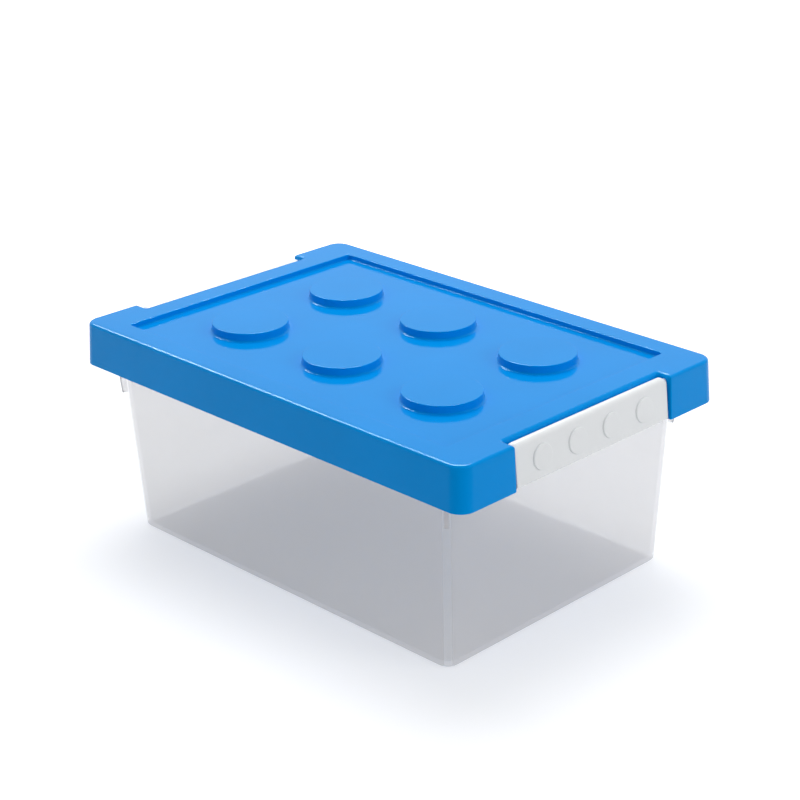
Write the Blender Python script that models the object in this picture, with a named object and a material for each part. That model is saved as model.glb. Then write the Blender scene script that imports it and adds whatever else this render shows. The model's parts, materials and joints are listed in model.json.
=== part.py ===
"""Building block storage box: a translucent tub, a lid with round studs and two latches.

The tub stands on z = 0 with its long side along X. The lid seats on the tub's rim, and one
latch hangs in a notch at each short end of the lid, on pins moulded at its ends.
All lengths are in metres.
"""

import math

import bmesh
import bpy
from mathutils import Matrix, Vector

PART_NAME = "building_block_storage_box"

# Tub: an open box whose walls lean out by the draft
TUB_BASE_LENGTH = 0.2564
TUB_BASE_WIDTH = 0.1754
TUB_HEIGHT = 0.1248
TUB_WALL = 0.0020
TUB_FLOOR = 0.0022
TUB_CORNER_RADIUS = 0.0080
TUB_FOOT_FILLET = 0.0025
TUB_INSIDE_FILLET = 0.0015
DRAFT = math.radians(2.73)

# Rim: a flange round the tub's mouth, with its edge turned down into a lip
RIM_REACH_ENDS = 0.0059
RIM_REACH_SIDES = 0.0050
RIM_THICKNESS = 0.0020
RIM_CORNER_RADIUS = 0.0080
RIM_EDGE_FILLET = 0.0006
LIP_HEIGHT = 0.0095
LIP_WALL = 0.0018

# Corner ribs: one blade under the rim at each corner of the tub, on the diagonal
RIB_THICKNESS = 0.0025
RIB_HEIGHT = 0.0395
RIB_PROUD_FOOT = 0.0030
RIB_PROUD_TOP = 0.0038
RIB_ROOT = 0.0060
RIB_FOOT_FILLET = 0.0008

# Lid: a shallow cap over the rim, with a sunk panel in its top
LID_SEAT_GAP = 0.0003
LID_RIM_CLEARANCE = 0.0005
LID_WALL = 0.0020
LID_PLATE = 0.0022
LID_SKIRT_HEIGHT = 0.0253
LID_FLARE = 0.0012
LID_CORNER_RADIUS = 0.0090
LID_EDGE_FILLET = 0.0018

# Sunk panel: its edge lies inside the tub's mouth by the margin
PANEL_MARGIN = 0.0062
PANEL_DEPTH = 0.0031
PANEL_CORNER_RADIUS = 0.0045
PANEL_EDGE_FILLET = 0.0008

# Studs: hollow discs in rows and columns on the sunk panel
STUD_COLUMNS = 3
STUD_ROWS = 2
STUD_END_MARGIN = 0.0486
STUD_SIDE_MARGIN = 0.0476
STUD_BASE_RADIUS = 0.0223
STUD_TOP_RADIUS = 0.0220
STUD_HEIGHT = 0.0049
STUD_EDGE_FILLET = 0.0008

# Notches: one in each short end of the lid, for the latch
NOTCH_WIDTH = 0.1244
NOTCH_DEPTH = 0.0092
NOTCH_INNER_RADIUS = 0.0030
NOTCH_OUTER_RADIUS = 0.0020

# Latches: a leaning plate on a barrel, with end pins, a hook rib and raised discs
LATCH_SIDE_GAP = 0.0014
LATCH_SETBACK = 0.0018
LATCH_THICKNESS = 0.0024
LATCH_FOOT_GAP = 0.0008
LATCH_EDGE_FILLET = 0.0006
LATCH_LEAN = math.radians(5.6)
BARREL_RADIUS = 0.0032
BARREL_DROP = 0.0010
BARREL_END_FILLET = 0.0014
FACE_INSET = 0.0001
PIN_RADIUS = 0.0016
PIN_LENGTH = 0.0032
PIN_CLEARANCE = 0.0003
PIN_CHAMFER = 0.0003
DISC_COUNT = 4
DISC_PITCH = 0.0272
DISC_RADIUS = 0.0071
DISC_PROUD = 0.0010
DISC_DROP = 0.0135
DISC_EDGE_FILLET = 0.0004
HOOK_MARGIN = 0.0058
HOOK_THICKNESS = 0.0022
HOOK_LIP_GAP = 0.0010
HOOK_CLEARANCE = 0.0004
HOOK_FILLET = 0.0005
WINDOW_SIDE_GAP = 0.0020
WINDOW_RISE = 0.0030

# Rounding: how many flats a curve is drawn with
CORNER_SEGMENTS = 6
EDGE_SEGMENTS = 3
SMALL_EDGE_SEGMENTS = 2
STUD_SEGMENTS = 48
DISC_SEGMENTS = 32
BARREL_SEGMENTS = 24
PIN_SEGMENTS = 16
SMOOTH_ANGLE = math.radians(30.0)

# Cuts run past the surface that they leave by OVERRUN; vertices closer than CLOSE are level
OVERRUN = 0.0040
CLOSE = 0.00001

# Half sizes and heights that follow from the sizes above
DRAFT_SLOPE = math.tan(DRAFT)
BASE_HALF = Vector((TUB_BASE_LENGTH / 2, TUB_BASE_WIDTH / 2))
TUB_TOP_HALF = BASE_HALF + Vector((1.0, 1.0)) * DRAFT_SLOPE * TUB_HEIGHT
MOUTH_HALF = TUB_TOP_HALF - Vector((TUB_WALL, TUB_WALL))
RIM_HALF = TUB_TOP_HALF + Vector((RIM_REACH_ENDS, RIM_REACH_SIDES))
LIP_LOW_Z = TUB_HEIGHT - LIP_HEIGHT
PLATE_LOW_Z = TUB_HEIGHT + LID_SEAT_GAP
LID_TOP_Z = PLATE_LOW_Z + LID_PLATE
SKIRT_LOW_Z = LID_TOP_Z - LID_SKIRT_HEIGHT
LID_INSET = LID_WALL + LID_RIM_CLEARANCE
NOTCH_BACK_X = RIM_HALF.x + LID_INSET
NOTCH_HALF = NOTCH_WIDTH / 2
LID_TOP_HALF = Vector((NOTCH_BACK_X + NOTCH_DEPTH, RIM_HALF.y + LID_INSET))
PANEL_HALF = MOUTH_HALF - Vector((PANEL_MARGIN, PANEL_MARGIN))
PANEL_Z = LID_TOP_Z - PANEL_DEPTH
STUD_TOP_Z = PANEL_Z + STUD_HEIGHT
LATCH_HALF = NOTCH_HALF - LATCH_SIDE_GAP
PIVOT_X = LID_TOP_HALF.x - LATCH_SETBACK - BARREL_RADIUS
PIVOT_Z = LID_TOP_Z - BARREL_DROP - BARREL_RADIUS
HOOK_TOP_Z = LIP_LOW_Z - HOOK_LIP_GAP


def clear_scene():
    """Remove every object and the collections that an earlier run left."""
    for obj in list(bpy.data.objects):
        bpy.data.objects.remove(obj, do_unlink=True)
    for collection in list(bpy.data.collections):
        bpy.data.collections.remove(collection)


def new_collection(name):
    """A collection in the scene."""
    collection = bpy.data.collections.new(name)
    bpy.context.scene.collection.children.link(collection)
    return collection


def new_material(name, colour, roughness, alpha):
    """A moulded plastic."""
    material = bpy.data.materials.new(name)
    material.use_nodes = True
    shader = material.node_tree.nodes["Principled BSDF"]
    shader.inputs["Base Color"].default_value = (*colour, 1.0)
    shader.inputs["Roughness"].default_value = roughness
    shader.inputs["Metallic"].default_value = 0.0
    shader.inputs["Alpha"].default_value = alpha
    return material


def new_object(name, bm, collection):
    """Put a bmesh into the scene as an object."""
    bmesh.ops.recalc_face_normals(bm, faces=bm.faces)
    mesh = bpy.data.meshes.new(name)
    bm.to_mesh(mesh)
    bm.free()
    obj = bpy.data.objects.new(name, mesh)
    collection.objects.link(obj)
    return obj


def mark_tool(obj):
    """Show a shape that only cuts or joins as a wire frame, out of any render."""
    obj.hide_render = True
    obj.display_type = "WIRE"


def add_boolean(obj, tool, operation):
    """Cut a tool from an object or join it on, as a live modifier."""
    mark_tool(tool)
    modifier = obj.modifiers.new(tool.name, "BOOLEAN")
    modifier.operation = operation
    modifier.solver = "EXACT"
    modifier.object = tool


def realise(obj):
    """Replace an object's mesh by what its modifiers make of it."""
    evaluated = obj.evaluated_get(bpy.context.evaluated_depsgraph_get())
    mesh = bpy.data.meshes.new_from_object(evaluated)
    obj.modifiers.clear()
    obj.data = mesh


def finish_piece(obj, material):
    """Fix a piece's shape, shade its rounded faces smooth and give it its material."""
    realise(obj)
    obj.data.materials.clear()
    obj.data.materials.append(material)
    obj.data.shade_smooth()
    obj.data.set_sharp_from_angle(angle=SMOOTH_ANGLE)


def fillet(bm, edges, radius, segments):
    """Round the given edges; a radius of nothing leaves them sharp."""
    if radius > CLOSE and edges:
        bmesh.ops.bevel(bm, geom=edges, offset=radius, offset_type="OFFSET", segments=segments,
                        profile=0.5, affect="EDGES", clamp_overlap=True)


def upright_edges(bm):
    """The edges that climb from the bottom to the top of a block."""
    return [edge for edge in bm.edges
            if abs(edge.verts[0].co.z - edge.verts[1].co.z) > CLOSE]


def level_edges(bm, z):
    """The edges of the flat face at one height."""
    return [edge for edge in bm.edges
            if all(abs(vert.co.z - z) < CLOSE for vert in edge.verts)]


def sharp_block(low_half, high_half, low_z, high_z):
    """A bmesh box with one half size at its foot and another at its top."""
    bm = bmesh.new()
    bmesh.ops.create_cube(bm, size=1.0)
    for vert in bm.verts:
        half, z = (low_half, low_z) if vert.co.z < 0 else (high_half, high_z)
        vert.co = (math.copysign(half.x, vert.co.x), math.copysign(half.y, vert.co.y), z)
    return bm


def rounded_block(low_half, high_half, low_z, high_z, corner, foot=0.0, top=0.0):
    """A box with round upright corners and, where asked, a rounded foot or top edge."""
    bm = sharp_block(low_half, high_half, low_z, high_z)
    fillet(bm, upright_edges(bm), corner, CORNER_SEGMENTS)
    fillet(bm, level_edges(bm, low_z), foot, EDGE_SEGMENTS)
    fillet(bm, level_edges(bm, high_z), top, EDGE_SEGMENTS)
    return bm


def upright_disc(centre, low_z, high_z, low_radius, high_radius, segments, top=0.0):
    """A round post between two heights."""
    bm = bmesh.new()
    matrix = Matrix.Translation((centre.x, centre.y, (low_z + high_z) / 2))
    bmesh.ops.create_cone(bm, cap_ends=True, segments=segments, radius1=low_radius,
                          radius2=high_radius, depth=high_z - low_z, matrix=matrix)
    fillet(bm, level_edges(bm, high_z), top, SMALL_EDGE_SEGMENTS)
    return bm


def joined(bmeshes):
    """Several closed shapes that don't touch, as one bmesh."""
    bm = bmesh.new()
    for part in bmeshes:
        mesh = bpy.data.meshes.new("shape")
        part.to_mesh(mesh)
        part.free()
        bm.from_mesh(mesh)
        bpy.data.meshes.remove(mesh)
    return bm


def grown(half, size):
    """A half size with the same amount added both ways."""
    return half + Vector((size, size))


def tub_half(z, inset=0.0):
    """Half the tub's length and width at one height, drawn in by an inset."""
    return grown(BASE_HALF, DRAFT_SLOPE * z - inset)


def make_rim(tools):
    """The flange and its lip, as a plate with a hollow underneath."""
    bm = rounded_block(RIM_HALF, RIM_HALF, LIP_LOW_Z, TUB_HEIGHT, RIM_CORNER_RADIUS,
                       top=RIM_EDGE_FILLET)
    rim = new_object("rim", bm, tools)
    hollow_half = grown(RIM_HALF, -LIP_WALL)
    bm = rounded_block(hollow_half, hollow_half, LIP_LOW_Z - OVERRUN,
                       TUB_HEIGHT - RIM_THICKNESS, RIM_CORNER_RADIUS - LIP_WALL)
    add_boolean(rim, new_object("rim_hollow", bm, tools), "DIFFERENCE")
    return rim


def make_ribs(tools):
    """A leaning blade on the diagonal of each corner, up into the flange."""
    low_z = TUB_HEIGHT - RIB_HEIGHT
    high_z = TUB_HEIGHT - RIM_THICKNESS / 2
    corner_reach = TUB_CORNER_RADIUS * (1 - math.sqrt(2))
    blades = []
    for side_x in (-1, 1):
        for side_y in (-1, 1):
            bm = bmesh.new()
            bmesh.ops.create_cube(bm, size=1.0)
            for vert in bm.verts:
                is_top = vert.co.z > 0
                z = high_z if is_top else low_z
                proud = RIB_PROUD_TOP if is_top else RIB_PROUD_FOOT
                outer = corner_reach + proud
                reach = outer if vert.co.x > 0 else outer - RIB_ROOT
                vert.co = (reach, math.copysign(RIB_THICKNESS / 2, vert.co.y), z)
            fillet(bm, level_edges(bm, low_z), RIB_FOOT_FILLET, SMALL_EDGE_SEGMENTS)
            turn = Matrix.Rotation(math.atan2(side_y, side_x), 4, "Z")
            for vert in bm.verts:
                corner = tub_half(vert.co.z)
                place = turn @ vert.co
                vert.co = (place.x + side_x * corner.x, place.y + side_y * corner.y, vert.co.z)
            blades.append(bm)
    return new_object("ribs", joined(blades), tools)


def make_tub(parts, tools, material):
    """The drafted tub with its rim and corner ribs, hollowed out last."""
    bm = rounded_block(BASE_HALF, TUB_TOP_HALF, 0.0, TUB_HEIGHT, TUB_CORNER_RADIUS,
                       foot=TUB_FOOT_FILLET)
    tub = new_object("tub", bm, parts)
    high_z = TUB_HEIGHT + OVERRUN
    bm = rounded_block(tub_half(TUB_FLOOR, TUB_WALL), tub_half(high_z, TUB_WALL), TUB_FLOOR,
                       high_z, TUB_CORNER_RADIUS - TUB_WALL, foot=TUB_INSIDE_FILLET)
    add_boolean(tub, make_rim(tools), "UNION")
    add_boolean(tub, make_ribs(tools), "UNION")
    add_boolean(tub, new_object("tub_cavity", bm, tools), "DIFFERENCE")
    finish_piece(tub, material)
    return tub


def lid_half(z, inset):
    """Half the lid's length and width at one height; the skirt flares towards its foot."""
    flare = LID_FLARE * (LID_TOP_Z - z) / LID_SKIRT_HEIGHT
    return grown(LID_TOP_HALF, flare - inset)


def end_boxes(inner_x, outer_x, half_y, low_z, high_z):
    """The same box at each short end, standing across the X axis."""
    boxes = []
    for side in (-1, 1):
        bm = sharp_block(Vector(((outer_x - inner_x) / 2, half_y)),
                         Vector(((outer_x - inner_x) / 2, half_y)), low_z, high_z)
        bmesh.ops.translate(bm, verts=bm.verts, vec=(side * (inner_x + outer_x) / 2, 0.0, 0.0))
        boxes.append(bm)
    return joined(boxes)


def notched_block(name, collection, tools, inset, low_z, high_z, top):
    """The lid's form drawn in by an inset: a flared block with a notch in each short end."""
    bm = sharp_block(lid_half(low_z, inset), lid_half(high_z, inset), low_z, high_z)
    block = new_object(name, bm, collection)
    back_x = NOTCH_BACK_X - inset
    half_y = NOTCH_HALF + inset
    bm = end_boxes(back_x, lid_half(low_z, 0.0).x + OVERRUN, half_y, low_z - OVERRUN,
                   high_z + OVERRUN)
    add_boolean(block, new_object(name + "_notches", bm, tools), "DIFFERENCE")
    realise(block)

    def stands_at(edge, x, y):
        """Whether an edge stands at the corner this far out, give or take the flare."""
        middle = (edge.verts[0].co + edge.verts[1].co) / 2
        return max(abs(abs(middle.x) - x), abs(abs(middle.y) - y)) < LID_FLARE + CLOSE

    bm = bmesh.new()
    bm.from_mesh(block.data)
    outer = lid_half((low_z + high_z) / 2, inset)
    corners = (
        (outer.x, outer.y, LID_CORNER_RADIUS - inset),
        (back_x, half_y, NOTCH_INNER_RADIUS + inset),
        (outer.x, half_y, NOTCH_OUTER_RADIUS - inset),
    )
    for x, y, radius in corners:
        fillet(bm, [edge for edge in upright_edges(bm) if stands_at(edge, x, y)], radius,
               CORNER_SEGMENTS)
    fillet(bm, level_edges(bm, high_z), top, EDGE_SEGMENTS)
    bm.to_mesh(block.data)
    bm.free()
    return block


def stud_centres():
    """The studs' places, evenly between the margins from the panel's edges."""
    reach = PANEL_HALF - Vector((STUD_END_MARGIN, STUD_SIDE_MARGIN))
    return [Vector((reach.x * (2 * column / (STUD_COLUMNS - 1) - 1),
                    reach.y * (2 * row / (STUD_ROWS - 1) - 1)))
            for column in range(STUD_COLUMNS) for row in range(STUD_ROWS)]


def make_lid_cavity(tools):
    """What the lid is hollowed by: its inner form, less the panel's pan, plus stud hollows."""
    cavity = notched_block("lid_cavity", tools, tools, LID_WALL, SKIRT_LOW_Z - OVERRUN,
                           PLATE_LOW_Z, 0.0)
    pan_half = grown(PANEL_HALF, LID_WALL)
    pan_z = PANEL_Z - LID_PLATE
    bm = rounded_block(pan_half, pan_half, pan_z, PLATE_LOW_Z + OVERRUN,
                       PANEL_CORNER_RADIUS + LID_WALL)
    add_boolean(cavity, new_object("lid_pan", bm, tools), "DIFFERENCE")
    hollows = [upright_disc(centre, pan_z - OVERRUN, STUD_TOP_Z - LID_PLATE,
                            STUD_TOP_RADIUS - LID_WALL, STUD_TOP_RADIUS - LID_WALL,
                            STUD_SEGMENTS)
               for centre in stud_centres()]
    add_boolean(cavity, new_object("stud_hollows", joined(hollows), tools), "UNION")
    return cavity


def make_pin_holes(tools):
    """Holes through the notches' side walls, on the latches' axes."""
    low_y = LATCH_HALF
    high_y = NOTCH_HALF + LID_WALL + OVERRUN
    holes = []
    for side_x in (-1, 1):
        for side_y in (-1, 1):
            bm = bmesh.new()
            place = Matrix.Translation((side_x * PIVOT_X, side_y * (low_y + high_y) / 2, PIVOT_Z))
            bmesh.ops.create_cone(bm, cap_ends=True, segments=PIN_SEGMENTS,
                                  radius1=PIN_RADIUS + PIN_CLEARANCE,
                                  radius2=PIN_RADIUS + PIN_CLEARANCE, depth=high_y - low_y,
                                  matrix=place @ Matrix.Rotation(math.pi / 2, 4, "X"))
            holes.append(bm)
    return new_object("pin_holes", joined(holes), tools)


def make_lid(parts, tools, material):
    """The cap with its sunk panel, studs, notches, pin holes and hook windows."""
    lid = notched_block("lid", parts, tools, 0.0, SKIRT_LOW_Z, LID_TOP_Z, LID_EDGE_FILLET)
    bm = rounded_block(PANEL_HALF, PANEL_HALF, PANEL_Z, LID_TOP_Z + OVERRUN,
                       PANEL_CORNER_RADIUS, foot=PANEL_EDGE_FILLET)
    add_boolean(lid, new_object("panel", bm, tools), "DIFFERENCE")
    studs = [upright_disc(centre, PANEL_Z - LID_PLATE / 2, STUD_TOP_Z, STUD_BASE_RADIUS,
                          STUD_TOP_RADIUS, STUD_SEGMENTS, top=STUD_EDGE_FILLET)
             for centre in stud_centres()]
    add_boolean(lid, new_object("studs", joined(studs), tools), "UNION")
    add_boolean(lid, make_lid_cavity(tools), "DIFFERENCE")
    add_boolean(lid, make_pin_holes(tools), "DIFFERENCE")
    bm = end_boxes(NOTCH_BACK_X - LID_WALL - OVERRUN, NOTCH_BACK_X + OVERRUN,
                   LATCH_HALF - HOOK_MARGIN + WINDOW_SIDE_GAP, SKIRT_LOW_Z - OVERRUN,
                   HOOK_TOP_Z + WINDOW_RISE)
    add_boolean(lid, new_object("hook_windows", bm, tools), "DIFFERENCE")
    finish_piece(lid, material)
    return lid


def latch_frame():
    """From the leaning plate's own axes to the latch's: it leans out about the barrel."""
    return Matrix.Rotation(-LATCH_LEAN, 4, "Y")


def box_between(low, high):
    """A sharp bmesh box between two corners."""
    bm = bmesh.new()
    bmesh.ops.create_cube(bm, size=1.0)
    for vert in bm.verts:
        vert.co = [high[axis] if vert.co[axis] > 0 else low[axis] for axis in range(3)]
    return bm


def make_plate(parts):
    """The latch's plate, from the barrel's axis down to its foot, leaning outwards."""
    face_x = BARREL_RADIUS - FACE_INSET
    length = (PIVOT_Z - SKIRT_LOW_Z - LATCH_FOOT_GAP) / math.cos(LATCH_LEAN)
    bm = box_between((face_x - LATCH_THICKNESS, -LATCH_HALF, -length),
                     (face_x, LATCH_HALF, 0.0))
    fillet(bm, list(bm.edges), LATCH_EDGE_FILLET, SMALL_EDGE_SEGMENTS)
    bmesh.ops.transform(bm, verts=bm.verts, matrix=latch_frame())
    return new_object("latch_right", bm, parts)


def make_barrel(tools):
    """The rolled top edge of the latch, rounded at its ends outside the pins."""
    end_fillet = min(BARREL_END_FILLET, BARREL_RADIUS - PIN_RADIUS - PIN_CHAMFER / 2)
    bm = bmesh.new()
    bmesh.ops.create_cone(bm, cap_ends=True, segments=BARREL_SEGMENTS, radius1=BARREL_RADIUS,
                          radius2=BARREL_RADIUS, depth=2 * LATCH_HALF)
    for z in (-LATCH_HALF, LATCH_HALF):
        fillet(bm, level_edges(bm, z), end_fillet, EDGE_SEGMENTS)
    bmesh.ops.rotate(bm, verts=bm.verts, matrix=Matrix.Rotation(math.pi / 2, 3, "X"))
    return new_object("barrel", bm, tools)


def make_pins(tools):
    """A pin at each end of the barrel, rooted inside it."""
    low_y = LATCH_HALF - BARREL_END_FILLET
    high_y = LATCH_HALF + PIN_LENGTH
    pins = []
    for side in (-1, 1):
        bm = upright_disc(Vector((0.0, 0.0)), low_y, high_y, PIN_RADIUS, PIN_RADIUS,
                          PIN_SEGMENTS)
        fillet(bm, level_edges(bm, high_y), PIN_CHAMFER, 1)
        bmesh.ops.rotate(bm, verts=bm.verts, matrix=Matrix.Rotation(-side * math.pi / 2, 3, "X"))
        pins.append(bm)
    return new_object("pins", joined(pins), tools)


def make_hook(tools):
    """The rib behind the plate, which reaches in through the lid's window to the rim's lip."""
    tip_x = RIM_HALF.x + HOOK_CLEARANCE - PIVOT_X
    root_x = BARREL_RADIUS - LATCH_THICKNESS / 2
    high_z = HOOK_TOP_Z - PIVOT_Z
    half_y = LATCH_HALF - HOOK_MARGIN
    bm = box_between((tip_x, -half_y, high_z - HOOK_THICKNESS), (root_x, half_y, high_z))
    tip_edges = [edge for edge in bm.edges
                 if all(abs(vert.co.x - tip_x) < CLOSE for vert in edge.verts)]
    fillet(bm, tip_edges, HOOK_FILLET, SMALL_EDGE_SEGMENTS)
    return new_object("hook", bm, tools)


def make_discs(tools):
    """The row of raised discs on the plate's outer face."""
    face_x = BARREL_RADIUS - FACE_INSET
    drop = (LID_TOP_Z - DISC_DROP - PIVOT_Z) / math.cos(LATCH_LEAN)
    discs = []
    for index in range(DISC_COUNT):
        y = DISC_PITCH * (index - (DISC_COUNT - 1) / 2)
        high = face_x + DISC_PROUD
        bm = upright_disc(Vector((0.0, 0.0)), face_x - LATCH_THICKNESS / 2, high, DISC_RADIUS,
                          DISC_RADIUS, DISC_SEGMENTS, top=DISC_EDGE_FILLET)
        place = Matrix.Translation((0.0, y, drop)) @ Matrix.Rotation(math.pi / 2, 4, "Y")
        bmesh.ops.transform(bm, verts=bm.verts, matrix=latch_frame() @ place)
        discs.append(bm)
    return new_object("discs", joined(discs), tools)


def make_latches(parts, tools, lid, material):
    """The latch at the +X end, and its twin turned about to the -X end."""
    right = make_plate(parts)
    add_boolean(right, make_barrel(tools), "UNION")
    add_boolean(right, make_pins(tools), "UNION")
    add_boolean(right, make_hook(tools), "UNION")
    add_boolean(right, make_discs(tools), "UNION")
    finish_piece(right, material)
    left = bpy.data.objects.new("latch_left", right.data)
    parts.objects.link(left)
    for latch, side in ((right, 1), (left, -1)):
        latch.parent = lid
        latch.location = (side * PIVOT_X, 0.0, PIVOT_Z)
        latch.rotation_euler = (0.0, 0.0, math.pi * (1 - side) / 2)


def main():
    """Build the box."""
    clear_scene()
    parts = new_collection(PART_NAME)
    tools = new_collection(PART_NAME + "_tools")
    frosted = new_material("frosted_plastic", (0.86, 0.87, 0.88), 0.35, 0.4)
    blue = new_material("blue_plastic", (0.0, 0.145, 0.63), 0.25, 1.0)
    white = new_material("white_plastic", (0.80, 0.82, 0.84), 0.35, 1.0)
    make_tub(parts, tools, frosted)
    lid = make_lid(parts, tools, blue)
    make_latches(parts, tools, lid, white)


main()
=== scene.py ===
"""Building block storage box: a frosted tub, a glossy studded lid and two white latches.

Laid out as an add-on: the sizes and colours are properties, and each piece has its operator.
"""

import json
import math

import bmesh
import bpy
from bpy.props import FloatProperty, FloatVectorProperty, IntProperty, PointerProperty
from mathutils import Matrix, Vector


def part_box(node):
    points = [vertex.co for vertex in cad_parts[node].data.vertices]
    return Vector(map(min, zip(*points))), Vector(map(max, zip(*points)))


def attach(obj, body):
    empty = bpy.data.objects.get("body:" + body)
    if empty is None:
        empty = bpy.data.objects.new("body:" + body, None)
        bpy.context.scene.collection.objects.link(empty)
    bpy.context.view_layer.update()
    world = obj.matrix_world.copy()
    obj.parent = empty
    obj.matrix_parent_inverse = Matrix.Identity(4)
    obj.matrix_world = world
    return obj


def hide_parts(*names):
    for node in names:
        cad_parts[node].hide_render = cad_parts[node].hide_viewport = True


bl_info = {
    "name": "Building Block Storage Box",
    "version": (1, 0, 0),
    "blender": (4, 5, 0),
    "location": "View3D > Sidebar > Block Box",
    "description": "Models a storage box with a studded lid and two latches",
    "category": "Add Mesh",
}

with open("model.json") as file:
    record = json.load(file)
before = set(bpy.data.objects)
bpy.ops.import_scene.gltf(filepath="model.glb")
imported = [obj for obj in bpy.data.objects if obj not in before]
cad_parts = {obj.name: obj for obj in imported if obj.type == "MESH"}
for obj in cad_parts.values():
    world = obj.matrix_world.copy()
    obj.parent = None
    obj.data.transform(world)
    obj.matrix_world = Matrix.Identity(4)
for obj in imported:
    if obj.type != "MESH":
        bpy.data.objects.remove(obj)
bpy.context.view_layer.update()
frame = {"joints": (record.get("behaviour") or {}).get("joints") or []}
TUB_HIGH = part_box("tub")[1]
LID_LOW, LID_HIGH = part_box("lid")
PIVOT = next(Vector(joint["pos_m"]) for joint in frame["joints"]
             if joint["name"] == "latch_right_hinge")

# Vertices closer than CLOSE are level; an outline's points lie within NEAR of it
CLOSE = 0.00001
NEAR = 0.0006
# Edges that turn by less than this are shaded smooth
SMOOTH_BELOW = math.radians(32.0)
# How much X and Y of a normal may differ on a diagonal face
DIAGONAL = 0.5
# Flat steps in a plate's round corner and in a latch's shoulder
CORNER_STEPS = 12
SHOULDER_STEPS = 6
# Where resizing and turning start from
MIDDLE = (0.0, 0.0, 0.0)
# The middle range of a cloud pattern
CLOUD_LOW, CLOUD_HIGH = 0.3, 0.7
# A Mix node's sockets for its two colours, and for the blend of them
MIX_FIRST, MIX_SECOND, MIX_RESULT = 6, 7, 2
# Where each lamp stands, what it faces and how wide it is
LAMPS = {
    "top_light": ((-0.45, 0.40, 1.5), (0.0, 0.0, 0.0), 1.0),
    "side_light": ((1.6, 0.6, 0.8), (0.0, 0.0, 0.05), 0.8),
    "edge_light": ((-0.966, 0.15, 1.107), (0.0, 0.0, 0.1), 0.55),
    "back_light": ((-0.62, 0.60, 1.23), (0.0, 0.0, 0.1), 0.5),
}
# The lamps that only gloss shows
GLOSS_LAMPS = ("edge_light", "back_light")
# The camera's place and turn; its lens and sensor are in millimetres
CAMERA_PLACE = (0.7528, -0.7231, 0.5264)
CAMERA_TURN = [math.radians(angle) for angle in (67.125, 0.154, 43.021)]
CAMERA_LENS = 88.79
CAMERA_SENSOR = 36.0
CAMERA_SHIFT = (-0.1126, 0.0056)
# The floor's half size, how far it lies under the tub, and the tint of its lift, a faint blue
# that shows only in its shadows: painted cool shade
FLOOR_HALF = (8.0, 8.0)
FLOOR_DROP = 0.0002
FLOOR_SHADOW_BLUE = (0.97, 0.99, 1.03, 1.0)


class TubSizes(bpy.types.PropertyGroup):
    """Sizes of the tub, its rim and its ribs."""

    wall: FloatProperty(name="Wall", description="Thickness of the walls",
                        default=0.0020, unit="LENGTH")
    floor: FloatProperty(name="Floor", description="Thickness of the floor",
                         default=0.0022, unit="LENGTH")
    draft: FloatProperty(name="Draft", description="How far the walls lean out",
                         default=math.radians(2.73), subtype="ANGLE")
    corner: FloatProperty(name="Corner radius", description="Radius of the upright corners",
                          default=0.0080, unit="LENGTH")
    foot: FloatProperty(name="Foot radius", description="Rounding between floor and walls",
                        default=0.0025, unit="LENGTH")
    foot_inside: FloatProperty(name="Foot radius, inside", description="Rounding at the floor",
                               default=0.0015, unit="LENGTH")
    reach_ends: FloatProperty(name="Rim reach, ends", description="Rim beyond the end walls",
                              default=0.0059, unit="LENGTH")
    reach_sides: FloatProperty(name="Rim reach, sides", description="Rim beyond the side walls",
                               default=0.0050, unit="LENGTH")
    rim: FloatProperty(name="Rim thickness", description="Thickness of the flange",
                       default=0.0020, unit="LENGTH")
    lip: FloatProperty(name="Lip height", description="Height of the turned-down lip",
                       default=0.0095, unit="LENGTH")
    lip_wall: FloatProperty(name="Lip wall", description="Thickness of the lip",
                            default=0.0018, unit="LENGTH")
    edge: FloatProperty(name="Edge rounding", description="Rounding of the rim's edges",
                        default=0.0006, unit="LENGTH")
    rib_height: FloatProperty(name="Rib height", description="Height of the corner ribs",
                              default=0.0395, unit="LENGTH")
    rib_width: FloatProperty(name="Rib thickness", description="Thickness of the corner ribs",
                             default=0.0025, unit="LENGTH")
    rib_foot: FloatProperty(name="Rib reach, foot", description="Rib beyond the corner, low",
                            default=0.0030, unit="LENGTH")
    rib_top: FloatProperty(name="Rib reach, top", description="Rib beyond the corner, high",
                           default=0.0038, unit="LENGTH")
    rib_root: FloatProperty(name="Rib root", description="How deep a rib sits in the wall",
                            default=0.0015, unit="LENGTH")
    rib_edge: FloatProperty(name="Rib edge", description="Rounding of a rib's outer edges",
                            default=0.0004, unit="LENGTH")
    rib_end: FloatProperty(name="Rib end", description="Rounding of a rib's lower end",
                           default=0.0008, unit="LENGTH")


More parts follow.
